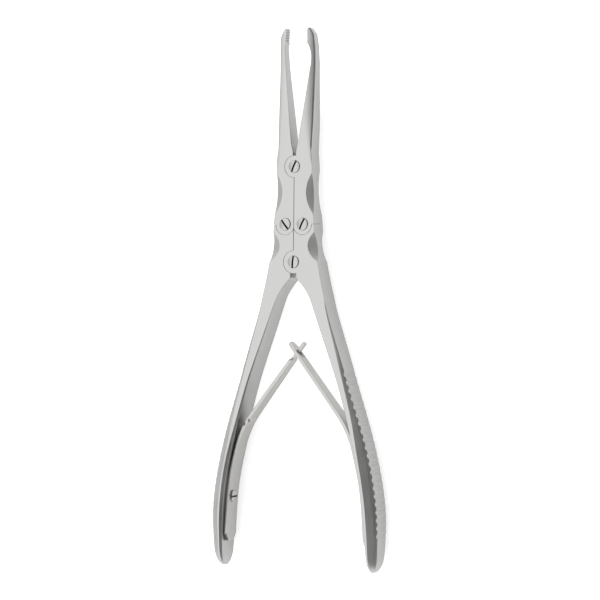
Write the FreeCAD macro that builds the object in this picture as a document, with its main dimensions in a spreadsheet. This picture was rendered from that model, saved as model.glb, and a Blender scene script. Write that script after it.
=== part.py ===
import FreeCAD, Part
import math
import os
import Sketcher

# Nasal septum forceps, double-action pattern, 200 mm long, stainless steel.
# Two jaws and two handles are joined by four slotted screws in a kite: the jaws cross at the jaw
# pivot, the handles at the handle pivot, and each jaw tail is hinged to the handle of its own side.
# Two leaf springs push the handles apart.
# Frame: the instrument lies flat, +Y to the jaw tips, +X to its right, +Z out of the face with the
# screw heads. The origin is the middle of the bounding box, and Z = 0 is the plane of the laps.

doc = FreeCAD.newDocument("nasal_septum_forceps")
sheet = doc.addObject("Spreadsheet::Sheet", "Sizes")

SIZES = [
    # Layout of the four pivots
    ("handle_pivot_y", 13.4, "handle pivot above the origin"),
    ("link_rise", 13.95, "handle pivot to the line of the link pivots"),
    ("link_half_pitch", 3.67, "centre line to each link pivot"),
    ("jaw_rise", 21.3, "line of the link pivots to the jaw pivot"),
    ("jaw_reach", 51.35, "jaw pivot to the tips"),
    ("root_drop", 13.4, "handle pivot down to where the shanks start"),
    # Thickness of the flat joint
    ("joint_half_root", 3.9, "half thickness where the shanks start"),
    ("joint_half_jaw", 2.88, "half thickness at the jaw pivot"),
    # Lap joints
    ("jaw_boss_radius", 4.05, "round boss at the jaw pivot"),
    ("link_boss_radius", 3.93, "round boss at each link pivot"),
    ("handle_boss_radius", 4.2, "round boss at the handle pivot"),
    ("lap_gap", 0.04, "between two lapped halves"),
    ("boss_gap", 0.08, "between a boss and the hollow around it"),
    ("seam_gap", 0.14, "between the left and the right half at rest"),
    ("flank_gap", 0.16, "between jaw and handle beside a link boss"),
    ("cusp_drop", 2.05, "link pivot line to the blunted cusp of the seam"),
    ("notch_half", 0.66, "half width of the slot above and below the joint"),
    ("crotch_half", 1.25, "half width of the slot under the handle boss"),
    # Outline of the joint, half widths
    ("seat_half", 8.6, "at the link pivots"),
    ("waist_half", 7.75, "halfway from the links to the jaw pivot"),
    ("jaw_joint_half", 7.55, "at the jaw pivot"),
    ("neck_half", 7.2, "above the jaw pivot"),
    ("hip_half", 9.35, "halfway from the links to the handle pivot"),
    ("root_inner", 7.1, "inner edge where the shanks start"),
    ("root_outer", 13.3, "outer edge where the shanks start"),
    # Hollows ground into the corners of the joint
    ("tail_hollow_rise", 12.2, "link pivot line up to the middle of the upper hollows"),
    ("tail_hollow_length", 15.7, "length of the upper hollows"),
    ("tail_hollow_run", 2.85, "width of the upper hollows on the face"),
    ("tail_hollow_depth", 1.35, "depth of the upper hollows on the side"),
    ("hip_hollow_drop", 7.7, "link pivot line down to the middle of the lower hollows"),
    ("hip_hollow_length", 11.3, "length of the lower hollows"),
    ("hip_hollow_run", 3.3, "width of the lower hollows on the face"),
    ("hip_hollow_depth", 1.55, "depth of the lower hollows on the side"),
    # Jaws
    ("jaw_half_neck", 2.66, "half thickness of the jaw arms at the neck"),
    ("jaw_half_middle", 1.85, "half thickness halfway along the jaw arms"),
    ("jaw_half_tip", 1.25, "half thickness of the jaw tips"),
    ("neck_length", 13.5, "jaw pivot to where the arms start to thin"),
    ("tooth_face", 4.4, "centre line to the lowest tooth, open"),
    ("left_tooth_lean", 0.6, "how far the top tooth of the left jaw stands in front of the lowest"),
    ("right_tooth_lean", 0.1, "the same on the right jaw"),
    ("tooth_pitch", 0.98, "pitch of the cross teeth"),
    ("tooth_depth", 0.5, "depth of the cross teeth"),
    ("tooth_count", 5, "grooves between the cross teeth"),
    ("edge_round", 0.7, "radius of the outer front edge of the arms"),
    # Grips
    ("grip_length", 113.4, "handle pivot to the end of the grips"),
    ("grip_end_x", 31.6, "centre line to the end of the grips, open"),
    ("facet_inner_run", 0.16, "inner chamfer of the grip, share of its thickness"),
    ("facet_inner_drop", 0.19, "inner chamfer of the grip, share of its half width"),
    ("facet_outer_run", 0.7, "outer bevels of the grip, share of its thickness"),
    ("facet_outer_drop", 0.43, "outer bevels of the grip, share of its half width"),
    ("groove_radius", 1.5, "radius of the finger grooves"),
    ("groove_depth", 0.32, "depth of the finger grooves"),
    ("groove_pitch", 2.95, "pitch of the finger grooves"),
    ("groove_first", 41.0, "handle pivot down to the first finger groove"),
    ("groove_count", 21, "finger grooves on each grip"),
    # Pivot screws
    ("screw_radius", 1.5, "shank of the pivot screws"),
    ("screw_head_radius", 2.25, "head of the pivot screws"),
    ("screw_head_rise", 0.65, "head above the face of the joint"),
    ("screw_head_sink", 0.9, "head below the face of the joint"),
    ("screw_slot_width", 0.7, "driver slot of every screw"),
    ("screw_slot_depth", 0.9, "depth of every driver slot"),
    ("running_gap", 0.05, "radial play of a screw in the piece that turns on it"),
    ("thread_gap", 0.02, "radial play of a screw in its thread"),
    # Leaf springs
    ("leaf_thickness", 1.25, "thickness of the leaf springs"),
    ("leaf_half_root", 3.4, "half width of a leaf at its screw"),
    ("leaf_half_tip", 2.05, "half width of a leaf at the crossing"),
    ("leaf_tail", 16.8, "leaf below its screw"),
    ("leaf_screw_drop", 87.4, "handle pivot down to the leaf screws"),
    ("leaf_seat_gap", 0.07, "between a leaf and its grip or its screw head"),
    ("leaf_foot_angle", 1.5, "lean of the leaf at its foot, degrees"),
    ("leaf_seat_angle", 5.5, "lean of the leaf at its screw, degrees"),
    ("leaf_low_angle", 15.1, "lean of the leaf where it leaves the grip, degrees"),
    ("leaf_top_angle", 38.7, "lean of the straight upper leg, degrees"),
    ("leaf_low_radius", 80.0, "bend of the leaf along the grip"),
    ("leaf_straight", 5.0, "straight stretch between the two bends"),
    ("leaf_bend_radius", 36.0, "bend of the leaf off the grip"),
    ("leaf_past_centre", 2.9, "how far each leaf end reaches past the centre line"),
    ("tongue_half", 0.85, "half width of the tongue on the left leaf"),
    ("tongue_start", 1.7, "centre line to the shoulder of the tongue"),
    ("eye_half", 1.15, "half width of the slot in the right leaf"),
    ("eye_length", 3.4, "length of the slot in the right leaf, along the instrument"),
    ("leaf_screw_radius", 1.25, "shank of the leaf screws"),
    ("leaf_screw_head_radius", 2.2, "head of the leaf screws"),
    ("leaf_screw_head_height", 0.95, "height of the head of the leaf screws"),
    ("leaf_screw_length", 4.2, "leaf screw inside the grip"),
]
# Stations of each handle below the joint: distance below the handle pivot, inner face, outer
# shoulder and half thickness. The handles are forged, so these follow the photographed curve.
GRIP_STATIONS = [
    ("shank_top", 25.4, 11.72, 16.72, 4.38),
    ("shank_middle", 37.4, 16.35, 20.77, 4.69),
    ("shank_low", 49.4, 20.5, 24.75, 5.07),
    ("grip_top", 61.4, 23.9, 28.75, 5.5),
    ("grip_upper", 73.4, 27.0, 32.1, 6.0),
    ("grip_middle", 85.4, 29.1, 34.35, 6.15),
    ("grip_lower", 97.4, 30.1, 35.2, 5.85),
    ("grip_heel", 105.4, 30.45, 34.85, 5.2),
]
STATION_COLUMNS = ("drop", "inner", "outer", "half")
# Shape of each jaw arm: name, share of the reach above the jaw pivot, and half width. The right jaw
# hooks inward at its tip and the left jaw is nearly straight.
JAW_POINTS = [
    ("left_bar_outer", 0.76, 6.85),
    ("left_shoulder_outer", 0.9, 7.0),
    ("left_brow_outer", 0.948, 6.8),
    ("left_crown_outer", 0.99, 5.4),
    ("left_crown_inner", 1.0, 4.3),
    ("left_recess_inner", 0.86, 4.85),
    ("left_bar_inner", 0.728, 4.4),
    ("right_rib_outer", 0.33, 7.87),
    ("right_bar_outer", 0.594, 8.17),
    ("right_swell_outer", 0.74, 8.35),
    ("right_shoulder_outer", 0.874, 8.04),
    ("right_brow_outer", 0.952, 7.4),
    ("right_crown_outer", 0.993, 5.95),
    ("right_crown_inner", 1.0, 5.0),
    ("right_throat_inner", 0.851, 5.7),
    ("right_recess_inner", 0.802, 6.35),
    ("right_hook_inner", 0.771, 6.42),
    ("right_bar_inner", 0.7, 5.9),
]
for name, *numbers in GRIP_STATIONS:
    for column, number in zip(STATION_COLUMNS, numbers):
        SIZES.append((name + "_" + column, number, "handle section"))
for name, share, half in JAW_POINTS:
    SIZES.append((name + "_share", share, "jaw outline, share of the jaw reach"))
    SIZES.append((name + "_half", half, "jaw outline, from the centre line"))

for row, (alias, number, note) in enumerate(SIZES, start=1):
    sheet.set("A%d" % row, note)
    sheet.set("B%d" % row, str(number))
    sheet.setAlias("B%d" % row, alias)
doc.recompute()

LEFT, RIGHT = -1, 1
SIDE_NAMES = {LEFT: "left", RIGHT: "right"}


def named(alias):
    return "Sizes." + alias


def value(expression):
    return float(sheet.evalExpression(expression))


# Heights that several pieces share, as expressions on the sheet
HANDLE_Y = named("handle_pivot_y")
LINK_Y = "(Sizes.handle_pivot_y + Sizes.link_rise)"
JAW_Y = "(Sizes.handle_pivot_y + Sizes.link_rise + Sizes.jaw_rise)"
ROOT_Y = "(Sizes.handle_pivot_y - Sizes.root_drop)"
TIP_Y = "(" + JAW_Y + " + Sizes.jaw_reach)"
TOOTHED = "Sizes.tooth_pitch * (Sizes.tooth_count + 0.5)"
SEAM_X = "(Sizes.seam_gap / 2)"
FAR = "20"


def joint_half(y):
    """Half thickness of the joint at height y: it thins evenly from the shanks to the jaw pivot."""
    fall = "(Sizes.joint_half_root - Sizes.joint_half_jaw)"
    return f"(Sizes.joint_half_root - {fall} * ({y} - {ROOT_Y}) / ({JAW_Y} - {ROOT_Y}))"


# Sketches and features


def new_body(name):
    return doc.addObject("PartDesign::Body", name)


def new_sketch(body, name, plane, lift="0"):
    """Sketch on an origin plane of the body, lifted along the plane's normal."""
    sketch = body.newObject("Sketcher::SketchObject", name)
    origin = next(item for item in body.Origin.OriginFeatures if item.Role == plane)
    sketch.AttachmentSupport = [(origin, "")]
    sketch.MapMode = "FlatFace"
    sketch.setExpression("AttachmentOffset.Base.z", lift)
    return sketch


def pin_point(sketch, geometry, position, x, y):
    """Bind one point of a sketch to two expressions."""
    for kind, expression in (("DistanceX", x), ("DistanceY", y)):
        constraint = Sketcher.Constraint(kind, -1, 1, geometry, position, value(expression))
        index = sketch.addConstraint(constraint)
        sketch.setExpression("Constraints[%d]" % index, expression)


def end_position(sketch, geometry, point):
    """1 or 2: which end of an edge lies at the point."""
    start = sketch.getPoint(geometry, 1)
    return 1 if start.distanceToPoint(point) < 1e-6 else 2


def outline(sketch, corners):
    """Closed outline of lines and arcs. A corner is (x, y), or (x, y, via x, via y) where the edge
    that leaves it is an arc through the second point."""
    points = [FreeCAD.Vector(value(c[0]), value(c[1]), 0) for c in corners]
    ends = []
    for corner, start, end in zip(corners, points, points[1:] + points[:1]):
        if len(corner) == 2:
            edge = sketch.addGeometry(Part.LineSegment(start, end), False)
        else:
            via = FreeCAD.Vector(value(corner[2]), value(corner[3]), 0)
            edge = sketch.addGeometry(Part.Arc(start, via, end), False)
            mark = sketch.addGeometry(Part.Point(via), True)
            sketch.addConstraint(Sketcher.Constraint("PointOnObject", mark, 1, edge))
            pin_point(sketch, mark, 1, corner[2], corner[3])
        ends.append((edge, end_position(sketch, edge, start)))
    for index, corner in enumerate(corners):
        edge, position = ends[index]
        before, start_of_before = ends[index - 1]
        join = Sketcher.Constraint("Coincident", before, 3 - start_of_before, edge, position)
        sketch.addConstraint(join)
        pin_point(sketch, edge, position, corner[0], corner[1])


def circle(sketch, x, y, radius):
    centre = FreeCAD.Vector(value(x), value(y), 0)
    normal = FreeCAD.Vector(0, 0, 1)
    index = sketch.addGeometry(Part.Circle(centre, normal, value(radius)), False)
    pin_point(sketch, index, 3, x, y)
    limit = sketch.addConstraint(Sketcher.Constraint("Radius", index, value(radius)))
    sketch.setExpression("Constraints[%d]" % limit, radius)


def pad(body, name, sketch, length):
    """Pad to both sides of the sketch."""
    feature = body.newObject("PartDesign::Pad", name)
    feature.Profile = sketch
    feature.SideType = "Symmetric"
    feature.setExpression("Length", length)
    return feature


def cut_through(body, name, sketch, upward=None):
    """Pocket through everything: to both sides, or only up or down from the sketch."""
    feature = body.newObject("PartDesign::Pocket", name)
    feature.Profile = sketch
    feature.Type = "ThroughAll"
    if upward is None:
        feature.SideType = "Symmetric"
    else:
        feature.Reversed = upward
    return feature


def mirrored_y(corners):
    return [tuple([c[0], "-" + c[1]] + ([c[2], "-" + c[3]] if len(c) > 2 else [])) for c in corners]


def sided(side, corners):
    """The outline of the right half, moved to the given side."""
    moved = []
    for corner in corners:
        moved.append(tuple(f"{side} * ({c})" if i % 2 == 0 else c for i, c in enumerate(corner)))
    return moved


def dress_faces(body, name, profile):
    """Cut the front and the back to a side profile: (y, half thickness) from low to high."""
    for face, sign in (("front", ""), ("back", "-")):
        sketch = new_sketch(body, name + "_" + face, "YZ_Plane")
        line = [(y, sign + half) for y, half in profile]
        roof = [(profile[-1][0], sign + FAR), (profile[0][0], sign + FAR)]
        outline(sketch, line + roof)
        cut_through(body, name + "_" + face + "_cut", sketch)


def edge_names(shape, wanted):
    return ["Edge%d" % n for n, edge in enumerate(shape.Edges, start=1) if wanted(edge)]


# Cuts that the half laps share. Every lap lies on Z = 0 with half the lap gap on each side.


def lap_boss(body, name, side, x, y, radius, keeps_front):
    """Remove one half of the thickness around another piece's boss."""
    level = "Sizes.lap_gap / 2" if keeps_front else "-Sizes.lap_gap / 2"
    sketch = new_sketch(body, name + "_lap", "XY_Plane", level)
    circle(sketch, f"{side} * ({x})", y, radius + " + Sizes.boss_gap")
    cut_through(body, name + "_lap_cut", sketch, upward=not keeps_front)


def lap_link(body, side, keeps_front):
    """Remove one half of the thickness around and beyond the other piece's link boss."""
    away = "-" if keeps_front else ""
    reach = "(Sizes.link_boss_radius + Sizes.boss_gap)"
    x = named("link_half_pitch")

    def beyond(distance):
        return f"({LINK_Y} + {away}({distance}))"

    cusp = f"({x} - sqrt({reach}^2 - Sizes.cusp_drop^2))"
    brim = f"({x} + sqrt({reach}^2 - Sizes.flank_gap^2 / 4))"
    corners = [
        (FAR, beyond("-Sizes.flank_gap / 2")),
        (FAR, beyond(FAR)),
        ("-1", beyond(FAR)),
        ("-1", beyond("-Sizes.cusp_drop")),
        (cusp, beyond("-Sizes.cusp_drop"), x, beyond(f"-{reach}")),
        (brim, beyond("-Sizes.flank_gap / 2")),
    ]
    level = "Sizes.lap_gap / 2" if keeps_front else "-Sizes.lap_gap / 2"
    sketch = new_sketch(body, "link_lap", "XY_Plane", level)
    outline(sketch, sided(side, corners))
    cut_through(body, "link_lap_cut", sketch, upward=not keeps_front)


def screw_hole(body, name, x, y, turning):
    """Hole for a pivot screw. The front piece turns on the shank and takes the sunk head."""
    play = "Sizes.running_gap" if turning else "Sizes.thread_gap"
    sketch = new_sketch(body, name + "_hole", "XY_Plane")
    circle(sketch, x, y, "Sizes.screw_radius + " + play)
    cut_through(body, name + "_bore", sketch)
    if turning:
        floor = f"{joint_half(y)} - Sizes.screw_head_sink"
        seat = new_sketch(body, name + "_seat", "XY_Plane", floor)
        circle(seat, x, y, "Sizes.screw_head_radius + Sizes.running_gap")
        cut_through(body, name + "_seat_cut", seat, upward=True)


def round_pad(body, name, x, y, radius):
    sketch = new_sketch(body, name, "XY_Plane")
    circle(sketch, x, y, radius)
    pad(body, name + "_pad", sketch, "2 * Sizes.joint_half_root")


def trim_seam(body, side, low, high):
    """Trim a link boss flat where the left and right halves meet."""
    sketch = new_sketch(body, "seam", "XY_Plane")
    corners = [("-" + FAR, low), (SEAM_X, low), (SEAM_X, high), ("-" + FAR, high)]
    outline(sketch, sided(side, corners))
    cut_through(body, "seam_cut", sketch)


def corner_hollow(name, side, face, x, y, run, depth, length):
    """Cylinder that grinds a shallow hollow into one long corner of the joint."""
    width = math.hypot(run, depth)
    radius = length**2 * width / (8 * run * depth)
    across = FreeCAD.Vector(side * run, 0, -face * depth) / width
    outward = FreeCAD.Vector(side * depth, 0, face * run) / width
    half = value(joint_half(str(y)))
    middle = FreeCAD.Vector(side * (x - run / 2), y, face * (half - depth / 2))
    tool = doc.addObject("Part::Cylinder", name)
    tool.Radius = radius
    tool.Height = 8 * width
    base = middle + outward * radius - across * (4 * width)
    tool.Placement = FreeCAD.Placement(base, FreeCAD.Rotation(FreeCAD.Vector(0, 0, 1), across))
    return tool


def cut_tools(name, base, tools):
    """The finished piece: the body less its loose tools."""
    group = doc.addObject("Part::Compound", name + "_tools")
    group.Links = tools
    piece = doc.addObject("Part::Cut", name)
    piece.Base = base
    piece.Tool = group
    piece.Label = name
    doc.recompute()
    return piece


def reach_at(shape, side, y):
    """Where a ray on Z = 0 at height y enters and leaves the shape, from the centre line."""
    ray = Part.makeLine(FreeCAD.Vector(0, y, 0), FreeCAD.Vector(side * 100, y, 0))
    crossings = [abs(vertex.X) for vertex in shape.common(ray).Vertexes]
    return min(crossings), max(crossings)


# Jaws


def jaw_point(name):
    return named(name + "_half"), f"({JAW_Y} + Sizes.{name}_share * Sizes.jaw_reach)"


def tooth_point(side, below_tip):
    """A point on the line of the tooth tips, which leans in towards the top."""
    lean = f"Sizes.{SIDE_NAMES[side]}_tooth_lean"
    share = f"(1 - ({below_tip}) / ({TOOTHED}))"
    return f"(Sizes.tooth_face - {lean} * {share})", f"({TIP_Y} - ({below_tip}))"


def jaw_outline(side):
    """Tail, neck and arm of one jaw, seen from the front, drawn on the right."""
    waist = f"({LINK_Y} + Sizes.jaw_rise * 0.53)"
    tail_top = f"({JAW_Y} - Sizes.jaw_boss_radius * 0.7)"
    neck = f"({JAW_Y} + Sizes.jaw_boss_radius * 1.15)"
    shoulder = ("(Sizes.seat_half + Sizes.waist_half) / 2 - 0.12", f"({LINK_Y} + {waist}) / 2")
    corners = [
        (SEAM_X, LINK_Y),
        ("Sizes.seat_half", LINK_Y, *shoulder),
        ("Sizes.waist_half", waist),
        ("(Sizes.waist_half + Sizes.neck_half) / 2", tail_top, "Sizes.jaw_joint_half", JAW_Y),
    ]
    if side == RIGHT:
        corners += [
            ("Sizes.neck_half", neck),
            jaw_point("right_rib_outer"),
            jaw_point("right_bar_outer"),
            jaw_point("right_swell_outer"),
            jaw_point("right_shoulder_outer"),
            jaw_point("right_brow_outer"),
            jaw_point("right_crown_outer"),
            jaw_point("right_crown_inner"),
            tooth_point(side, "0.8"),
            (*tooth_point(side, TOOTHED), *jaw_point("right_throat_inner")),
            (*jaw_point("right_recess_inner"), *jaw_point("right_hook_inner")),
            jaw_point("right_bar_inner"),
        ]
    else:
        corners += [
            ("Sizes.neck_half", neck),
            jaw_point("left_bar_outer"),
            jaw_point("left_shoulder_outer"),
            jaw_point("left_brow_outer"),
            jaw_point("left_crown_outer"),
            jaw_point("left_crown_inner"),
            tooth_point(side, "0.8"),
            tooth_point(side, TOOTHED),
            jaw_point("left_recess_inner"),
            jaw_point("left_bar_inner"),
        ]
    corners += [
        ("Sizes.notch_half + 0.75", f"({JAW_Y} + 8.4)"),
        ("Sizes.notch_half", f"({JAW_Y} + Sizes.jaw_boss_radius + 1.2)"),
        ("Sizes.notch_half", JAW_Y),
        (SEAM_X, JAW_Y),
    ]
    return sided(side, corners)


def make_jaw(side):
    name = SIDE_NAMES[side] + "_jaw"
    body = new_body(name + "_body")
    link_x = f"{side} * Sizes.link_half_pitch"
    blank = new_sketch(body, "blank", "XY_Plane")
    outline(blank, jaw_outline(side))
    pad(body, "blank_pad", blank, "2 * Sizes.joint_half_root")
    round_pad(body, "jaw_boss", "0", JAW_Y, named("jaw_boss_radius"))
    round_pad(body, "link_boss", link_x, LINK_Y, named("link_boss_radius"))
    trim_seam(body, side, f"({LINK_Y} - 8)", f"({JAW_Y} - Sizes.jaw_boss_radius - 0.1)")
    middle = f"({JAW_Y} + (Sizes.neck_length + Sizes.jaw_reach) / 2 - 1)"
    low = f"({LINK_Y} - 8)"
    profile = [
        (low, joint_half(low)),
        (JAW_Y, "Sizes.joint_half_jaw"),
        (f"({JAW_Y} + Sizes.neck_length)", "Sizes.jaw_half_neck"),
        (middle, "Sizes.jaw_half_middle"),
        (f"({TIP_Y} + 1)", "Sizes.jaw_half_tip"),
    ]
    dress_faces(body, "face", profile)
    doc.recompute()
    soften_front_edge(body, side)
    lap_boss(body, "jaw", side, "0", JAW_Y, named("jaw_boss_radius"), keeps_front=side == RIGHT)
    lap_link(body, side, keeps_front=True)
    screw_hole(body, "jaw_screw", "0", JAW_Y, turning=side == RIGHT)
    screw_hole(body, "link_screw", link_x, LINK_Y, turning=True)
    cut_teeth(body, side)
    doc.recompute()
    x = value("Sizes.waist_half") + 0.15
    y = value(f"{LINK_Y} + Sizes.tail_hollow_rise")
    sizes = [value("Sizes.tail_hollow_" + word) for word in ("run", "depth", "length")]
    tools = [corner_hollow(f"{name}_hollow_{n}", side, face, x, y, *sizes) for n, face in enumerate((1, -1))]
    return cut_tools(name, body, tools)


def cut_teeth(body, side):
    """Cross teeth on the inner face of the tip: one V groove, repeated down the line of the tips."""
    first, last = "0.75 * Sizes.tooth_pitch", "(Sizes.tooth_count - 0.25) * Sizes.tooth_pitch"
    x, y = tooth_point(side, first)
    sketch = new_sketch(body, "tooth_gap", "XY_Plane")
    corners = [
        (f"{x} - 0.5", f"{y} + Sizes.tooth_pitch * 0.35"),
        (x, f"{y} + Sizes.tooth_pitch * 0.35"),
        (f"{x} + Sizes.tooth_depth", y),
        (x, f"{y} - Sizes.tooth_pitch * 0.35"),
        (f"{x} - 0.5", f"{y} - Sizes.tooth_pitch * 0.35"),
    ]
    outline(sketch, sided(side, corners))
    low_x, low_y = tooth_point(side, last)
    (start, end), = [sided(side, [(x, y), (low_x, low_y)])]
    line = Part.LineSegment(*(FreeCAD.Vector(value(p[0]), value(p[1]), 0) for p in (start, end)))
    row = sketch.addGeometry(line, True)
    pin_point(sketch, row, 1, *start)
    pin_point(sketch, row, 2, *end)
    groove = cut_through(body, "tooth_gap_cut", sketch)
    pattern = body.newObject("PartDesign::LinearPattern", "teeth")
    pattern.Originals = [groove]
    pattern.Direction = (sketch, ["Axis0"])
    pattern.setExpression("Length", f"sqrt(({x} - {low_x})^2 + ({y} - {low_y})^2)")
    pattern.setExpression("Occurrences", "Sizes.tooth_count")
    body.Tip = pattern


def soften_front_edge(body, side):
    """Round the outer front edge of the arm, from the neck to the tip."""
    shape = body.Shape
    low = value(f"{JAW_Y} + Sizes.jaw_boss_radius * 1.15")
    high = value(f"{JAW_Y} + Sizes.{SIDE_NAMES[side]}_crown_outer_share * Sizes.jaw_reach")

    def wanted(edge):
        box = edge.BoundBox
        runs = box.YLength > 1 and box.YMin > low - 0.1 and box.YMax < high + 0.1
        probe = edge.CenterOfMass - FreeCAD.Vector(side * 0.3, 0, 0.3)
        return runs and box.ZMin > 0.3 and shape.isInside(probe, 0.01, True)

    dressed = body.Tip
    rounding = body.newObject("PartDesign::Fillet", "front_edge")
    rounding.Base = (dressed, edge_names(shape, wanted))
    rounding.setExpression("Radius", named("edge_round"))
    doc.recompute()


# Handles


def handle_outline(side):
    """Head of one handle, from the link pivots to where the shank starts, drawn on the right."""
    hip = f"({LINK_Y} - Sizes.link_rise * 0.6)"
    crotch = f"({HANDLE_Y} - Sizes.handle_boss_radius - 1.7)"
    arch = ("(Sizes.crotch_half + Sizes.root_inner) / 2 + 0.25", f"({crotch} + {ROOT_Y}) / 2 + 0.4")
    flare = ("(Sizes.root_outer + Sizes.hip_half) / 2 - 0.3", f"({ROOT_Y} + {hip}) / 2")
    waist = ("(Sizes.hip_half + Sizes.seat_half) / 2 - 0.15", f"({hip} + {LINK_Y}) / 2")
    corners = [
        (SEAM_X, LINK_Y),
        (SEAM_X, HANDLE_Y),
        ("Sizes.crotch_half", HANDLE_Y),
        ("Sizes.crotch_half", crotch, *arch),
        ("Sizes.root_inner", ROOT_Y),
        ("Sizes.root_outer", ROOT_Y, *flare),
        ("Sizes.hip_half", hip, *waist),
        ("Sizes.seat_half", LINK_Y),
    ]
    return sided(side, corners)


def grip_section(body, name, side, y, inner, outer, half, share):
    """One cross-section of the grip. The share says how far the facets are developed there."""
    sketch = new_sketch(body, name, "XZ_Plane", f"-({y})")
    thickness = f"({outer} - {inner})"
    run_in = f"Sizes.facet_inner_run * {thickness} * {share}"
    drop_in = f"Sizes.facet_inner_drop * {half} * {share}"
    run_out = f"Sizes.facet_outer_run * {thickness} * {share}"
    drop_out = f"Sizes.facet_outer_drop * {half} * {share}"
    front = [
        (inner, f"({half} - {drop_in})"),
        (f"{inner} + {run_in}", f"({half})"),
        (f"{outer} - {run_out}", f"({half})"),
        (f"{outer} - {run_out} * 0.74", f"({half} - {drop_out} * 0.19)"),
        (f"{outer} - {run_out} * 0.28", f"({half} - {drop_out} * 0.54)"),
        (outer, f"({half} - {drop_out})"),
    ]
    back = mirrored_y(front)[::-1]
    outline(sketch, sided(side, front + back))
    return sketch


def grip_loft(body, side):
    """Forged shank and grip: the facets grow out of the plain bar below the joint."""
    root = ("Sizes.root_inner", "Sizes.root_outer", "Sizes.joint_half_root")
    sections = [grip_section(body, "root_section", side, ROOT_Y, *root, "0.02")]
    for name, *_ in GRIP_STATIONS:
        drop, inner, outer, half = ("Sizes." + name + "_" + column for column in STATION_COLUMNS)
        share = f"min(1; ({drop} - Sizes.root_drop) / (Sizes.grip_upper_drop - Sizes.root_drop))"
        y = f"({HANDLE_Y} - {drop})"
        sections.append(grip_section(body, name + "_section", side, y, inner, outer, half, share))
    drop, inner, outer, half = ("Sizes.grip_heel_" + column for column in STATION_COLUMNS)
    for number, reach in enumerate((0.6, 0.9, 1.0)):
        size = f"sqrt(1 - (0.97 * {reach})^2)"
        y = f"({HANDLE_Y} - {drop} - (Sizes.grip_length - {drop}) * {reach})"
        edges = [f"(Sizes.grip_end_x + ({edge} - Sizes.grip_end_x) * {size})" for edge in (inner, outer)]
        name = "nose_section_%d" % number
        sections.append(grip_section(body, name, side, y, *edges, f"({half} * {size})", "1"))
    loft = body.newObject("PartDesign::AdditiveLoft", "grip_loft")
    loft.Profile = sections[0]
    loft.Sections = sections[1:]
    body.Tip = loft


def finger_grooves(name, side, body):
    """Shallow grooves across the outer side of the grip, each a cylinder sunk into the crown."""
    radius = value("Sizes.groove_radius")
    tools = []
    for number in range(int(value("Sizes.groove_count"))):
        y = value(f"{HANDLE_Y} - Sizes.groove_first - Sizes.groove_pitch * {number}")
        x = reach_at(body.Shape, side, y)[1] + radius - value("Sizes.groove_depth")
        tool = doc.addObject("Part::Cylinder", "%s_groove_%d" % (name, number))
        tool.setExpression("Radius", "Sizes.groove_radius")
        tool.setExpression("Height", "4 * Sizes.grip_middle_half")
        base = FreeCAD.Vector(side * x, y, -2 * value("Sizes.grip_middle_half"))
        tool.Placement = FreeCAD.Placement(base, FreeCAD.Rotation())
        tools.append(tool)
    return tools


def make_handle(side):
    name = SIDE_NAMES[side] + "_handle"
    body = new_body(name + "_body")
    link_x = f"{side} * Sizes.link_half_pitch"
    head = new_sketch(body, "head", "XY_Plane")
    outline(head, handle_outline(side))
    pad(body, "head_pad", head, "2 * Sizes.joint_half_root")
    round_pad(body, "handle_boss", "0", HANDLE_Y, named("handle_boss_radius"))
    round_pad(body, "link_boss", link_x, LINK_Y, named("link_boss_radius"))
    trim_seam(body, side, f"({HANDLE_Y} + Sizes.handle_boss_radius + 0.1)", f"({LINK_Y} + 8)")
    high = f"({LINK_Y} + 8)"
    dress_faces(body, "face", [(ROOT_Y, "Sizes.joint_half_root"), (high, joint_half(high))])
    doc.recompute()
    grip_loft(body, side)
    boss = named("handle_boss_radius")
    lap_boss(body, "handle", side, "0", HANDLE_Y, boss, keeps_front=side == RIGHT)
    lap_link(body, side, keeps_front=False)
    screw_hole(body, "handle_screw", "0", HANDLE_Y, turning=side == RIGHT)
    screw_hole(body, "link_screw", link_x, LINK_Y, turning=False)
    doc.recompute()
    x = value("Sizes.hip_half") - 0.1
    y = value(f"{LINK_Y} - Sizes.hip_hollow_drop")
    sizes = [value("Sizes.hip_hollow_" + word) for word in ("run", "depth", "length")]
    tools = [corner_hollow(f"{name}_hollow_{n}", side, face, x, y, *sizes) for n, face in enumerate((1, -1))]
    tools += finger_grooves(name, side, body)
    seat_x = leaf_seat_x(body.Shape, side)
    bore = value("Sizes.leaf_screw_radius + Sizes.thread_gap")
    tools.append(bore_tool(name + "_thread", side, seat_x, bore))
    return cut_tools(name, body, tools), seat_x


# Pivot screws


def slot_and_place(body, radius, top, placement):
    """Driver slot across the head, then the screw goes to its place."""
    sketch = new_sketch(body, "slot", "XY_Plane", top)
    half = "Sizes.screw_slot_width / 2"
    reach = f"({radius} + 1)"
    corners = [(f"-{reach}", f"-{half}"), (reach, f"-{half}"), (reach, half), (f"-{reach}", half)]
    outline(sketch, corners)
    cut = body.newObject("PartDesign::Pocket", "slot_cut")
    cut.Profile = sketch
    cut.setExpression("Length", named("screw_slot_depth"))
    body.Placement = placement


def turned(body, name, corners):
    """Revolve a half profile, drawn as (radius, height), about the vertical axis."""
    sketch = new_sketch(body, name, "XZ_Plane")
    outline(sketch, corners)
    feature = body.newObject("PartDesign::Revolution", name + "_turned")
    feature.Profile = sketch
    feature.ReferenceAxis = (sketch, ["V_Axis"])
    feature.Angle = 360


def dome(radius, top, sag):
    """Top of a screw head: a cone that falls by the sag to the rim, round a flat middle."""
    return [(radius, f"{top} - {sag}"), (f"{radius} * 0.6", top), ("0", top)]


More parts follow.
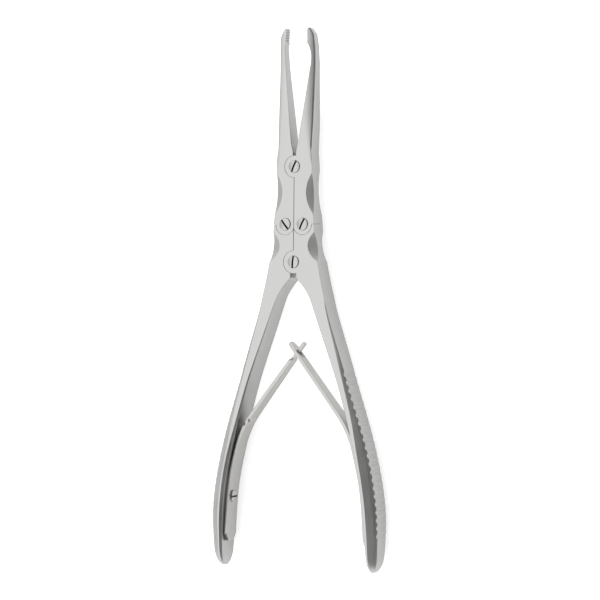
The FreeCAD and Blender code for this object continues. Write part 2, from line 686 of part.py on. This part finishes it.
def make_pivot_screw(name, x, y, slot_angle):
    """Slotted screw with a low domed head. Its end lies flush in the back of the joint."""
    face = joint_half(y)
    top = f"({face} + Sizes.screw_head_rise)"
    floor = f"({face} - Sizes.screw_head_sink + 0.02)"
    head = named("screw_head_radius")
    shank = named("screw_radius")
    body = new_body(name)
    turned(body, "profile", [
        ("0", f"-({face} - 0.1)"),
        (shank, f"-({face} - 0.1)"),
        (shank, floor),
        (head, floor),
        *dome(head, top, "0.3"),
    ])
    rotation = FreeCAD.Rotation(FreeCAD.Vector(0, 0, 1), slot_angle)
    place = FreeCAD.Placement(FreeCAD.Vector(value(x), value(y), 0), rotation)
    slot_and_place(body, head, top, place)
    body.setExpression("Placement.Base.x", x)
    body.setExpression("Placement.Base.y", y)
    body.Label = name
    doc.recompute()
    return body


# Leaf springs


def leaf_line(offset, seat_x):
    """Line along a leaf, drawn on the right at an offset from its middle line, away from the grip.
    It starts at the foot, bends gently past the screw and along the grip, runs straight, bends off
    the grip and runs straight to the crossing. Returns its corners, each arc with its via point."""
    foot, seat, low, top = (
        math.radians(value("Sizes.leaf_%s_angle" % word)) for word in ("foot", "seat", "low", "top")
    )
    tail_radius = value("Sizes.leaf_tail") / (seat - foot)
    x = seat_x + tail_radius * (math.cos(foot) - math.cos(seat))
    y = value(f"{HANDLE_Y} - Sizes.leaf_screw_drop") - tail_radius * (math.sin(seat) - math.sin(foot))
    corners = []

    def shifted(lean):
        return x - offset * math.cos(lean), y - offset * math.sin(lean)

    bends = (
        (tail_radius, foot, seat, 0),
        (value("Sizes.leaf_low_radius"), seat, low, value("Sizes.leaf_straight")),
        (value("Sizes.leaf_bend_radius"), low, top, 0),
    )
    for radius, start, end, straight in bends:
        corner = shifted(start)
        middle = (start + end) / 2
        start_x, start_y = x, y
        x = start_x - radius * (math.cos(start) - math.cos(middle))
        y = start_y + radius * (math.sin(middle) - math.sin(start))
        corners.append((*corner, *shifted(middle)))
        x = start_x - radius * (math.cos(start) - math.cos(end))
        y = start_y + radius * (math.sin(end) - math.sin(start))
        if straight:
            corners.append(shifted(end))
            x -= straight * math.sin(end)
            y += straight * math.cos(end)
    corners.append(shifted(top))
    past = value("Sizes.leaf_past_centre")
    y += (x + past) / math.tan(top)
    x = -past
    corners.append(shifted(top))
    return corners


def leaf_crossing_y(seat_x):
    """Height at which the middle lines of the two leaves cross, on the centre line."""
    (x, y), (end_x, end_y) = leaf_line(0, seat_x)[-2:]
    return y + (end_y - y) * x / (x - end_x)


def reversed_outline(corners):
    """The same line walked backwards: each via point moves to the other end of its arc."""
    backwards = []
    for corner, before in zip(corners[::-1], corners[-2::-1] + [()]):
        backwards.append((*corner[:2], *before[2:]))
    return backwards


def leaf_strip(body, side, seat_x):
    """Bent strip of even thickness, as wide as the root of the leaf."""
    half = value("Sizes.leaf_thickness") / 2
    corners = leaf_line(half, seat_x) + reversed_outline(leaf_line(-half, seat_x))
    sketch = new_sketch(body, "strip", "XY_Plane")
    outline(sketch, sided(side, [tuple(str(number) for number in corner) for corner in corners]))
    pad(body, "strip_pad", sketch, "2 * Sizes.leaf_half_root")


def leaf_width(body, side, seat_x):
    """Cut the strip to its width: full at the grip, narrow at the crossing, and round at its foot.
    The left leaf ends in a tongue, the right one in a rounded head with a slot for it."""
    line = leaf_line(0, seat_x)
    foot, bend, end = line[0][1], line[-2][1], line[-1][1]
    crossing = leaf_crossing_y(seat_x)
    root, tip = named("leaf_half_root"), named("leaf_half_tip")
    broad = str(foot + 0.55 * (bend - foot))
    low = [
        (str(foot - 1), "0.6"),
        (str(foot), f"{root} * 0.55"),
        (f"({foot} + {root} * 0.8)", root),
        (broad, root),
    ]
    if side == LEFT:
        shoulder = f"({crossing} - Sizes.tongue_start / tan(Sizes.leaf_top_angle))"
        high = [
            (f"({shoulder} - 0.8)", tip),
            (shoulder, "Sizes.tongue_half"),
            (f"({end} - 0.4)", "Sizes.tongue_half"),
            (f"({end} + 1)", "Sizes.tongue_half * 0.5"),
        ]
    else:
        high = [
            (f"({end} - {tip} * 0.8)", tip),
            (f"({end} - 0.1)", f"{tip} * 0.6"),
            (f"({end} + 1)", "0.4"),
        ]
    dress_faces(body, "width", low + high)
    if side == RIGHT:
        eye = new_sketch(body, "eye", "YZ_Plane")
        reach = "Sizes.eye_length / 2"
        corners = [
            (f"({crossing} - {reach})", "-Sizes.eye_half"), (f"({crossing} + {reach})", "-Sizes.eye_half"),
            (f"({crossing} + {reach})", "Sizes.eye_half"), (f"({crossing} - {reach})", "Sizes.eye_half"),
        ]
        outline(eye, corners)
        cut_through(body, "eye_cut", eye)


def leaf_seat_x(grip, side):
    """Centre line to the middle of a leaf at its screw: it lies on the inner face of the grip."""
    y = value(f"{HANDLE_Y} - Sizes.leaf_screw_drop")
    play = value("Sizes.leaf_thickness / 2 / cos(Sizes.leaf_seat_angle) + Sizes.leaf_seat_gap")
    return reach_at(grip, side, y)[0] - play


def screw_frame(side, seat_x):
    """Place on the middle of a leaf at its screw, with Z pointing out of the grip."""
    lean = math.radians(value("Sizes.leaf_seat_angle"))
    x, y = seat_x, value(f"{HANDLE_Y} - Sizes.leaf_screw_drop")
    out = FreeCAD.Vector(-side * math.cos(lean), -math.sin(lean), 0)
    turn = FreeCAD.Rotation(FreeCAD.Vector(0, 0, 1), out)
    return FreeCAD.Placement(FreeCAD.Vector(side * x, y, 0), turn)


def bore_tool(name, side, seat_x, radius):
    """Cylinder along a leaf screw, from inside the grip to beyond its head."""
    depth = value("Sizes.leaf_screw_length + Sizes.leaf_thickness / 2") + 0.1
    tool = doc.addObject("Part::Cylinder", name)
    tool.Radius = radius
    tool.Height = depth + 4
    inward = FreeCAD.Placement(FreeCAD.Vector(0, 0, -depth), FreeCAD.Rotation())
    tool.Placement = screw_frame(side, seat_x).multiply(inward)
    return tool


def make_leaf(side, seat_x):
    name = SIDE_NAMES[side] + "_leaf_spring"
    body = new_body(name + "_body")
    leaf_strip(body, side, seat_x)
    leaf_width(body, side, seat_x)
    doc.recompute()
    bore = bore_tool(name + "_bore", side, seat_x, value("Sizes.leaf_screw_radius + Sizes.running_gap"))
    return cut_tools(name, body, [bore])


def make_leaf_screw(side, seat_x):
    """Domed slotted screw that clamps a leaf to the inner face of its grip."""
    name = SIDE_NAMES[side] + "_spring_screw"
    head, shank = named("leaf_screw_head_radius"), named("leaf_screw_radius")
    under = "(Sizes.leaf_thickness / 2 + Sizes.leaf_seat_gap)"
    top = f"({under} + Sizes.leaf_screw_head_height)"
    tip = "(Sizes.leaf_thickness / 2 + Sizes.leaf_screw_length)"
    body = new_body(name)
    turned(body, "profile", [
        ("0", f"-{tip}"),
        (shank, f"-{tip}"),
        (shank, under),
        (head, under),
        *dome(head, top, "0.55"),
    ])
    slot_and_place(body, head, top, screw_frame(side, seat_x))
    body.Label = name
    doc.recompute()
    return body


# The assembly

pieces = []
for side in (LEFT, RIGHT):
    pieces.append(make_jaw(side))
    handle, seat_x = make_handle(side)
    pieces.append(handle)
    pieces.append(make_leaf(side, seat_x))
    pieces.append(make_leaf_screw(side, seat_x))
pieces.append(make_pivot_screw("jaw_pivot_screw", "0", JAW_Y, 65))
pieces.append(make_pivot_screw("handle_pivot_screw", "0", HANDLE_Y, 84))
pieces.append(make_pivot_screw("left_link_screw", "-Sizes.link_half_pitch", LINK_Y, 129))
pieces.append(make_pivot_screw("right_link_screw", "Sizes.link_half_pitch", LINK_Y, 63))

for item in doc.Objects:
    if "Invalid" in item.State or "Error" in item.State:
        raise RuntimeError(item.Name + " did not compute: " + ", ".join(item.State))
os.makedirs("parts", exist_ok=True)
for piece in pieces:
    shape = piece.Shape
    if shape.isNull() or not shape.isValid():
        raise RuntimeError(piece.Label + " has no valid shape")
    if len(shape.Solids) != 1:
        raise RuntimeError("%s is %d solids" % (piece.Label, len(shape.Solids)))
    shape.exportStep("parts/" + piece.Label + ".step")
    print(piece.Label, round(shape.Volume, 1), "mm3")
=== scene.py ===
import math

import bmesh
import bpy
from mathutils import Matrix, Vector


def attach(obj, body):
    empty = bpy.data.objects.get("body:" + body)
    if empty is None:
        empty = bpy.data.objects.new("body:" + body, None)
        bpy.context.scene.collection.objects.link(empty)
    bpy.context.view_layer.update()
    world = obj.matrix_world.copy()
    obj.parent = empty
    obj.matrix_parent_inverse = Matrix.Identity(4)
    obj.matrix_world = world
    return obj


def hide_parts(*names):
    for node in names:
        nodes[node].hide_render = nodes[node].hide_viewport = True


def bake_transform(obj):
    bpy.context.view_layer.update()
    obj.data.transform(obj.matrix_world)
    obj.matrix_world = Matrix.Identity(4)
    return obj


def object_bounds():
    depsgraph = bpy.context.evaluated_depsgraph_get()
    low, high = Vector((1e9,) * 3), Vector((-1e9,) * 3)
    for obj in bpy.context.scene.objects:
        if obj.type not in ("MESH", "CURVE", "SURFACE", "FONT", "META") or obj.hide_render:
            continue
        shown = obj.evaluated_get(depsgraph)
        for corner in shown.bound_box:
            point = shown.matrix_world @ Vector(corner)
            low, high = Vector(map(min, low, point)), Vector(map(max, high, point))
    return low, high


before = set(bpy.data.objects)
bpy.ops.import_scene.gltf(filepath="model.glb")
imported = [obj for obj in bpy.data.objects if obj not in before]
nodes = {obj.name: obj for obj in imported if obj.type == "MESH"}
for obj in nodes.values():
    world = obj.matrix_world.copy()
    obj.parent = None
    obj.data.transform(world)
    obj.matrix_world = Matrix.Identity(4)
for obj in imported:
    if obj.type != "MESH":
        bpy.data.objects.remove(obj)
cad_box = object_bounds()

# Forged jaws and handles
# Martensitic stainless steel, drop forged, ground on the flats and glass-bead
# blasted to a silk-matt finish that keeps theatre lamps from glaring.
MILLIMETRE = 0.001
FORGED_LIGHT = "#C9C9C8"
FORGED_SHADE = "#BABAB8"
BLAST_DIMPLE = 0.35 * MILLIMETRE
GRIND_PITCH = 0.5 * MILLIMETRE
FORGED_EDGE = 0.22 * MILLIMETRE
DIMPLE_DEPTH = 0.02 * MILLIMETRE
DIMPLE_STRENGTH = 0.22
GRIND_STRETCH = 0.12
GRIND_SHARE = 0.45
CLOUDS_PER_METRE = 60.0
ARM_STARTS = 49 * MILLIMETRE
ARM_FULL = 68 * MILLIMETRE
ARM_OUTER = 8.2 * MILLIMETRE
ARM_EDGE = 2 * MILLIMETRE
CROWN_CURVE = 0.8
# Apart from a small edge round, the mesh's arms are flat in front; the shading stands for the rest.
# Side, where the front starts to fall away, tangent of its lean at the outer edge
LEFT_CROWN = (-1, 4.8 * MILLIMETRE, 0.36)
RIGHT_CROWN = (1, 2.0 * MILLIMETRE, 0.5)


def linear(hex_colour):
    """sRGB hex to linear RGBA."""
    channels = [int(hex_colour[i : i + 2], 16) / 255 for i in (1, 3, 5)]
    channels = [c / 12.92 if c <= 0.04045 else ((c + 0.055) / 1.055) ** 2.4 for c in channels]
    return (*channels, 1.0)


def add(tree, kind, settings=None, **links):
    """Adds a node. A key names an input or gives its number after an i; values are constants or outputs."""
    node = tree.nodes.new(kind)
    for name, setting in (settings or {}).items():
        setattr(node, name, setting)
    for name, source in links.items():
        numbered = name[0] == "i" and name[1:].isdigit()
        socket = node.inputs[int(name[1:]) if numbered else name.replace("_", " ")]
        if isinstance(source, bpy.types.NodeSocket):
            tree.links.new(source, socket)
        else:
            socket.default_value = source
    return node


def new_material(name):
    """An empty material and its node tree."""
    material = bpy.data.materials.new(name)
    material.use_nodes = True
    material.node_tree.nodes.clear()
    return material, material.node_tree


def crowned(tree, place, normal, side, start, tilt):
    """Leans the normals of a jaw's arm outwards, as its round front falls away to the outer edge."""
    position = add(tree, "ShaderNodeSeparateXYZ", Vector=place).outputs
    across = add(tree, "ShaderNodeMath", {"operation": "MULTIPLY"}, i0=position["X"], i1=side).outputs[0]
    start = add(tree, "ShaderNodeMapRange", Value=position["Y"], i1=ARM_STARTS, i2=ARM_FULL,
                i3=ARM_OUTER - ARM_EDGE, i4=start).outputs[0]
    across = add(tree, "ShaderNodeMapRange", Value=across, i1=start, i2=ARM_OUTER).outputs[0]
    across = add(tree, "ShaderNodeMath", {"operation": "POWER"}, i0=across, i1=CROWN_CURVE).outputs[0]
    upward = add(tree, "ShaderNodeMapRange", Value=position["Y"], i1=ARM_STARTS - ARM_EDGE,
                 i2=ARM_STARTS + ARM_EDGE, i4=side * tilt).outputs[0]
    flat = add(tree, "ShaderNodeNewGeometry").outputs["True Normal"]
    flat = add(tree, "ShaderNodeSeparateXYZ", Vector=flat).outputs["Z"]
    flat = add(tree, "ShaderNodeMath", {"operation": "ABSOLUTE"}, i0=flat).outputs[0]
    upward = add(tree, "ShaderNodeMath", {"operation": "MULTIPLY"}, i0=upward, i1=flat).outputs[0]
    lean = add(tree, "ShaderNodeMath", {"operation": "MULTIPLY"}, i0=across, i1=upward).outputs[0]
    lean = add(tree, "ShaderNodeCombineXYZ", X=lean).outputs[0]
    to_world = {"vector_type": "VECTOR", "convert_from": "OBJECT", "convert_to": "WORLD"}
    lean = add(tree, "ShaderNodeVectorTransform", to_world, Vector=lean).outputs[0]
    bent = add(tree, "ShaderNodeVectorMath", {"operation": "ADD"}, i0=normal, i1=lean).outputs[0]
    return add(tree, "ShaderNodeVectorMath", {"operation": "NORMALIZE"}, i0=bent).outputs[0]


def steel(name, light, shade, rough_low, rough_high, grain, grind, edge, crown=None):
    """Stainless steel: a fine blasted grain over faint grinding lines, with its edges broken."""
    material, tree = new_material(name)
    place = add(tree, "ShaderNodeTexCoord").outputs["Object"]
    stretched = add(tree, "ShaderNodeMapping", Vector=place, Scale=(1.0, GRIND_STRETCH, 1.0)).outputs[0]
    dimples = add(tree, "ShaderNodeTexNoise", Vector=place, Scale=0.5 / grain, Detail=3.0, Roughness=0.6)
    lines = add(tree, "ShaderNodeTexNoise", Vector=stretched, Scale=0.5 / grind, Detail=2.0)
    clouds = add(tree, "ShaderNodeTexNoise", Vector=place, Scale=CLOUDS_PER_METRE, Detail=2.0)
    blend = add(tree, "ShaderNodeMix", {"data_type": "FLOAT"}, i0=GRIND_SHARE,
                i2=clouds.outputs["Fac"], i3=lines.outputs["Fac"])
    tint = add(tree, "ShaderNodeMix", {"data_type": "RGBA"}, i0=blend.outputs[0],
               i6=linear(shade), i7=linear(light))
    rough = add(tree, "ShaderNodeMapRange", Value=blend.outputs[0], i1=0.3, i2=0.7,
                i3=rough_low, i4=rough_high)
    rounded = add(tree, "ShaderNodeBevel", {"samples": 8}, Radius=edge).outputs[0]
    if crown:
        rounded = crowned(tree, place, rounded, *crown)
    relief = add(tree, "ShaderNodeBump", Strength=DIMPLE_STRENGTH, Distance=DIMPLE_DEPTH,
                 Height=dimples.outputs["Fac"], Normal=rounded)
    shader = add(tree, "ShaderNodeBsdfPrincipled", Base_Color=tint.outputs[2], Metallic=1.0,
                 Roughness=rough.outputs[0], Normal=relief.outputs[0])
    add(tree, "ShaderNodeOutputMaterial", Surface=shader.outputs[0])
    return material


# Light and dark tone, least and most roughness, grain, grinding lines, broken edge
FORGED = (FORGED_LIGHT, FORGED_SHADE, 0.30, 0.42, BLAST_DIMPLE, GRIND_PITCH, FORGED_EDGE)
forged_steel = steel("silk-matt forged stainless steel", *FORGED)
left_arm_steel = steel("silk-matt forged stainless steel, crowned left arm", *FORGED, LEFT_CROWN)
right_arm_steel = steel("silk-matt forged stainless steel, crowned right arm", *FORGED, RIGHT_CROWN)
for name, finish in (("left_jaw", left_arm_steel), ("right_jaw", right_arm_steel),
                     ("left_handle", forged_steel), ("right_handle", forged_steel)):
    nodes[name].data.materials.clear()
    nodes[name].data.materials.append(finish)

# Slotted screws
# Turned from stainless bar, domed and slotted heads left smoother than the
# forgings; each holds its two pieces as a pivot or clamps a spring to its grip.
SCREW_LIGHT = "#C4C3C1"
SCREW_SHADE = "#B2B1AE"
# Deeper and paler tone, and blotch size, of the painted shade in the driver slots
PAINTED_SLOT_SHADE_DEEP = "#3A3633"
PAINTED_SLOT_SHADE_PALE = "#4C4844"
SLOT_SHADE_BLOTCHES_PER_METRE = 2.0 / MILLIMETRE
# Node: body, slot's turn about the screw's axis in degrees
PIVOT_SCREWS = {
    "jaw_pivot_screw": ("left_jaw", 65),
    "handle_pivot_screw": ("left_handle", 84),
    "left_link_screw": ("left_handle", 129),
    "right_link_screw": ("right_handle", 63),
}
SPRING_SCREWS = {"left_spring_screw": ("left_handle", 0), "right_spring_screw": ("right_handle", 0)}
SPRING_LEAN = math.radians(5.5)
# Sizes in millimetres
PIVOT_SIZES = {"Head Radius": 2.24, "Head Height": 1.5, "Dome Radius": 7.2, "Slot Width": 0.7,
               "Slot Depth": 0.85, "Shank Radius": 1.5}
SPRING_SIZES = {"Head Radius": 2.2, "Head Height": 1.2, "Dome Radius": 4.5, "Slot Width": 0.7,
                "Slot Depth": 0.85, "Shank Radius": 1.25}
HEAD_SIDES = 72
DOME_SIDES = 96
SHANK_SIDES = 48

turned_steel = steel("turned stainless steel", SCREW_LIGHT, SCREW_SHADE, 0.18, 0.26,
                     0.2 * MILLIMETRE, 0.3 * MILLIMETRE, 0.1 * MILLIMETRE)
# Painted shade in the driver slots: a dark, blotchy colour that stands for the shade down in the narrow slots
painted_slot_shade, tree = new_material("painted shade in the driver slots")
place = add(tree, "ShaderNodeTexCoord").outputs["Object"]
shade_blotches = add(tree, "ShaderNodeTexNoise", Vector=place, Scale=SLOT_SHADE_BLOTCHES_PER_METRE, Detail=3.0).outputs["Fac"]
tone = add(tree, "ShaderNodeMix", {"data_type": "RGBA"}, i0=shade_blotches,
           i6=linear(PAINTED_SLOT_SHADE_DEEP), i7=linear(PAINTED_SLOT_SHADE_PALE))
shader = add(tree, "ShaderNodeBsdfPrincipled", Base_Color=tone.outputs[2], Metallic=0.4, Roughness=0.6)
add(tree, "ShaderNodeOutputMaterial", Surface=shader.outputs[0])


def screw_tree():
    """A domed, slotted screw on every point, which is the top of its head and says how long it is."""
    tree = bpy.data.node_groups.new("slotted screw", "GeometryNodeTree")
    tree.interface.new_socket("Points", in_out="INPUT", socket_type="NodeSocketGeometry")
    for name in ("Head Radius", "Head Height", "Dome Radius", "Slot Width", "Slot Depth", "Shank Radius"):
        tree.interface.new_socket(name, in_out="INPUT", socket_type="NodeSocketFloat")
    tree.interface.new_socket("Screws", in_out="OUTPUT", socket_type="NodeSocketGeometry")
    given = add(tree, "NodeGroupInput").outputs

    def scaled(source, factor):
        return add(tree, "ShaderNodeMath", {"operation": "MULTIPLY"}, i0=source, i1=factor).outputs[0]

    def lowered(mesh, height):
        place = add(tree, "ShaderNodeCombineXYZ", Z=height).outputs[0]
        return add(tree, "GeometryNodeTransform", Geometry=mesh, Translation=place).outputs[0]

    # The blank reaches a fifth of the head's height above the dome, so the two meet in a clean cut
    blank = add(tree, "GeometryNodeMeshCylinder", Vertices=HEAD_SIDES, Radius=given["Head Radius"],
                Depth=scaled(given["Head Height"], 1.2)).outputs["Mesh"]
    dome = add(tree, "GeometryNodeMeshUVSphere", Segments=DOME_SIDES, Rings=DOME_SIDES,
               Radius=given["Dome Radius"]).outputs["Mesh"]
    across = scaled(given["Head Radius"], 3.0)
    driver = add(tree, "ShaderNodeCombineXYZ", X=across, Y=given["Slot Width"],
                 Z=scaled(given["Slot Depth"], 2.0)).outputs[0]
    driver = add(tree, "GeometryNodeMeshCube", Size=driver).outputs["Mesh"]
    # The cutter carries the painted shade onto the faces of the slot it cuts
    driver = add(tree, "GeometryNodeSetMaterial", Geometry=driver, Material=painted_slot_shade).outputs[0]
    domed = add(tree, "GeometryNodeMeshBoolean", {"operation": "INTERSECT", "solver": "EXACT"})
    tree.links.new(lowered(blank, scaled(given["Head Height"], -0.4)), domed.inputs["Mesh 2"])
    tree.links.new(lowered(dome, scaled(given["Dome Radius"], -1.0)), domed.inputs["Mesh 2"])
    slotted = add(tree, "GeometryNodeMeshBoolean", {"operation": "DIFFERENCE", "solver": "EXACT"},
                  Mesh_1=domed.outputs["Mesh"])
    tree.links.new(driver, slotted.inputs["Mesh 2"])
    shank = add(tree, "GeometryNodeMeshCylinder", Vertices=SHANK_SIDES, Radius=given["Shank Radius"],
                Depth=1.0).outputs["Mesh"]
    turn = add(tree, "GeometryNodeInputNamedAttribute", {"data_type": "FLOAT_VECTOR"}, Name="turn").outputs[0]
    reach = add(tree, "GeometryNodeInputNamedAttribute", {"data_type": "FLOAT"}, Name="reach").outputs[0]
    # The shank starts at the floor of the slot
    length = add(tree, "ShaderNodeMath", {"operation": "SUBTRACT"}, i0=reach,
                 i1=given["Slot Depth"]).outputs[0]
    stretch = add(tree, "ShaderNodeCombineXYZ", X=1.0, Y=1.0, Z=length).outputs[0]
    heads = add(tree, "GeometryNodeInstanceOnPoints", Points=given["Points"],
                Instance=slotted.outputs["Mesh"], Rotation=turn).outputs[0]
    sunk = add(tree, "ShaderNodeCombineXYZ", Z=scaled(given["Slot Depth"], -1.0)).outputs[0]
    sunk = add(tree, "FunctionNodeRotateVector", Vector=sunk, Rotation=turn).outputs[0]
    below = add(tree, "GeometryNodeSetPosition", Geometry=given["Points"], Offset=sunk).outputs[0]
    shanks = add(tree, "GeometryNodeInstanceOnPoints", Points=below, Instance=lowered(shank, -0.5),
                 Rotation=turn, Scale=stretch).outputs[0]
    both = add(tree, "GeometryNodeJoinGeometry")
    tree.links.new(heads, both.inputs[0])
    tree.links.new(shanks, both.inputs[0])
    real = add(tree, "GeometryNodeRealizeInstances", Geometry=both.outputs[0]).outputs[0]
    # Every face except the slot's painted shade gets turned steel
    dark = add(tree, "GeometryNodeMaterialSelection", Material=painted_slot_shade).outputs[0]
    bright = add(tree, "FunctionNodeBooleanMath", {"operation": "NOT"}, i0=dark).outputs[0]
    finished = add(tree, "GeometryNodeSetMaterial", Geometry=real, Selection=bright,
                   Material=turned_steel).outputs[0]
    add(tree, "NodeGroupOutput", Screws=finished)
    return tree


def top_and_length(node, axis):
    """Top point on the axis and length of a CAD screw, from its vertices."""
    points = [nodes[node].matrix_world @ v.co for v in nodes[node].data.vertices]
    heights = [p.dot(axis) for p in points]
    flat = [p - axis * p.dot(axis) for p in points]
    middle = Vector([(min(p[i] for p in flat) + max(p[i] for p in flat)) / 2 for i in range(3)])
    return middle + axis * max(heights), max(heights) - min(heights)


def make_screws(name, screws, axes, sizes):
    """One mesh of the screws of one kind that move with the same body."""
    mesh = bpy.data.meshes.new(name)
    measured = [top_and_length(node, axis) for (node, _), axis in zip(screws, axes)]
    mesh.from_pydata([top for top, _ in measured], [], [])
    mesh.attributes.new("turn", "FLOAT_VECTOR", "POINT")
    mesh.attributes.new("reach", "FLOAT", "POINT")
    for index, ((_, spin), axis) in enumerate(zip(screws, axes)):
        stand = Vector((0, 0, 1)).rotation_difference(axis)
        slot_turn = Matrix.Rotation(math.radians(spin), 3, "Z")
        mesh.attributes["turn"].data[index].vector = (stand.to_matrix() @ slot_turn).to_euler()
        mesh.attributes["reach"].data[index].value = measured[index][1]
    points = bpy.data.objects.new(name, mesh)
    bpy.context.scene.collection.objects.link(points)
    modifier = points.modifiers.new("screws", "NODES")
    modifier.node_group = SCREW_TREE
    for socket in SCREW_TREE.interface.items_tree:
        if socket.name in sizes:
            modifier[socket.identifier] = sizes[socket.name]
    evaluated = points.evaluated_get(bpy.context.evaluated_depsgraph_get())
    points.data = bpy.data.meshes.new_from_object(evaluated)
    points.modifiers.remove(modifier)
    return points


SCREW_TREE = screw_tree()
for family, screws, sizes in (("pivot", PIVOT_SCREWS, PIVOT_SIZES), ("spring", SPRING_SCREWS, SPRING_SIZES)):
    sizes = {name: value * MILLIMETRE for name, value in sizes.items()}
    for body in sorted({body for body, _ in screws.values()}):
        own = [(node, spin) for node, (holder, spin) in screws.items() if holder == body]
        side = -1 if body == "left_handle" else 1
        outward = Vector((-side * math.cos(SPRING_LEAN), -math.sin(SPRING_LEAN), 0))
        axis = Vector((0, 0, 1)) if family == "pivot" else outward
        piece = make_screws(f"{body}_{family}_screws", own, [axis] * len(own), sizes)
        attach(piece, body)
        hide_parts(*[node for node, _ in own])

# Crossed leaf springs
# Two strips of hardened stainless spring steel, rolled, bent and satin finished;
# each is screwed to its grip, and the left one's tongue runs in the right one's slot.
LEAF_LIGHT = "#C8C7C5"
LEAF_SHADE = "#B6B5B2"
LEAF_SLICE = 1.6 * MILLIMETRE
LEAF_WELD = 0.001 * MILLIMETRE

rolled_steel = steel("satin rolled spring steel", LEAF_LIGHT, LEAF_SHADE, 0.28, 0.38,
                     0.3 * MILLIMETRE, 0.4 * MILLIMETRE, 0.15 * MILLIMETRE)


def sliced_leaf(node, name):
    """A copy of a leaf's mesh, cut across slice by slice."""
    mesh = nodes[node].data.copy()
    mesh.transform(nodes[node].matrix_world)
    cuts = bmesh.new()
    cuts.from_mesh(mesh)
    bmesh.ops.remove_doubles(cuts, verts=cuts.verts, dist=LEAF_WELD)
    low = min(v.co.y for v in cuts.verts)
    high = max(v.co.y for v in cuts.verts)
    for step in range(1, int((high - low) / LEAF_SLICE)):
        bmesh.ops.bisect_plane(cuts, geom=cuts.verts[:] + cuts.edges[:] + cuts.faces[:],
                               plane_co=(0, low + step * LEAF_SLICE, 0), plane_no=(0, 1, 0))
    cuts.to_mesh(mesh)
    cuts.free()
    mesh.materials.clear()
    mesh.materials.append(rolled_steel)
    leaf = bpy.data.objects.new(name, mesh)
    bpy.context.scene.collection.objects.link(leaf)
    return leaf


for side in ("left", "right"):
    leaf = sliced_leaf(side + "_leaf_spring", side + "_bent_leaf")
    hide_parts(side + "_leaf_spring")
    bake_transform(leaf)

# Floor and light
# A plain white studio table that glows a little, so that the instrument throws no
# hard shadow, inside a soft dome that is bright on the left and dim on the right.
TABLE_COLOUR = "#F4F4F4"
TABLE_HALF = 1.5
TABLE_GLOW = 0.42
TABLE_WHITE = 0.75
TABLE_GRAINS_PER_METRE = 900.0
TABLE_RELIEF = 0.1 * MILLIMETRE
DOME_COLOUR = "#FFFFFF"
DOME_DIM = 0.16
DOME_BRIGHT = 1.32
DOME_SHADE_STARTS = -0.04
DOME_SHADE_ENDS = 0.37
DOME_FAR_LEFT = 0.45
FAR_LEFT_STARTS = -0.6
FAR_LEFT_ENDS = -1.0
lowest = cad_box[0][2]

table_material, tree = new_material("white studio table")
place = add(tree, "ShaderNodeTexCoord").outputs["Object"]
grain = add(tree, "ShaderNodeTexNoise", Vector=place, Scale=TABLE_GRAINS_PER_METRE)
relief = add(tree, "ShaderNodeBump", Strength=0.05, Distance=TABLE_RELIEF, Height=grain.outputs["Fac"])
# The table looks whiter to the camera than it lights the instrument
seen = add(tree, "ShaderNodeLightPath").outputs["Is Camera Ray"]
glow = add(tree, "ShaderNodeMapRange", Value=seen, i3=TABLE_GLOW, i4=TABLE_WHITE)
paper = add(tree, "ShaderNodeBsdfPrincipled", Base_Color=linear(TABLE_COLOUR), Roughness=0.8,
            Normal=relief.outputs[0], Emission_Color=linear(TABLE_COLOUR), Emission_Strength=glow.outputs[0])
add(tree, "ShaderNodeOutputMaterial", Surface=paper.outputs[0])

table_mesh = bpy.data.meshes.new("table")
corners = [(x * TABLE_HALF, y * TABLE_HALF, lowest) for x, y in ((-1, -1), (1, -1), (1, 1), (-1, 1))]
table_mesh.from_pydata(corners, [], [(0, 1, 2, 3)])
table_mesh.materials.append(table_material)
table = bpy.data.objects.new("table", table_mesh)
bpy.context.scene.collection.objects.link(table)

world = bpy.data.worlds.new("studio")
world.use_nodes = True
tree = world.node_tree
tree.nodes.clear()
direction = add(tree, "ShaderNodeTexCoord").outputs["Generated"]
sideways = add(tree, "ShaderNodeSeparateXYZ", Vector=direction).outputs["X"]
glow = add(tree, "ShaderNodeMapRange", {"interpolation_type": "SMOOTHSTEP"}, Value=sideways,
           i1=DOME_SHADE_STARTS, i2=DOME_SHADE_ENDS, i3=DOME_BRIGHT, i4=DOME_DIM)
# The dome dims again at the far left
far_left = add(tree, "ShaderNodeMapRange", Value=sideways, i1=FAR_LEFT_STARTS, i2=FAR_LEFT_ENDS,
               i3=1.0, i4=DOME_FAR_LEFT)
glow = add(tree, "ShaderNodeMath", {"operation": "MULTIPLY"}, i0=glow.outputs[0], i1=far_left.outputs[0])
dome = add(tree, "ShaderNodeBackground", Color=linear(DOME_COLOUR), Strength=glow.outputs[0])
add(tree, "ShaderNodeOutputWorld", Surface=dome.outputs[0])
bpy.context.scene.world = world
bpy.context.scene.view_settings.view_transform = "Standard"

# Camera
# The photograph looks at the screw heads from 30 degrees to the instrument's
# right, level with the joint, from about a metre.
VIEW_TURN = math.radians(30)
VIEW_DISTANCE = 1.005
AIM = Vector((0.00078, -0.00065, 0.0))
FOCAL_PIXELS = 2716
PHOTO_PIXELS = 600
SENSOR = 36.0

camera = bpy.data.cameras.new("camera")
camera.sensor_width = SENSOR
camera.lens = FOCAL_PIXELS * SENSOR / PHOTO_PIXELS
camera.clip_end = 10
viewpoint = bpy.data.objects.new("camera", camera)
toward = Vector((math.sin(VIEW_TURN), 0, math.cos(VIEW_TURN)))
viewpoint.location = AIM + toward * VIEW_DISTANCE
viewpoint.rotation_euler = [0.0, VIEW_TURN, 0.0]
bpy.context.scene.collection.objects.link(viewpoint)
bpy.context.scene.camera = viewpoint
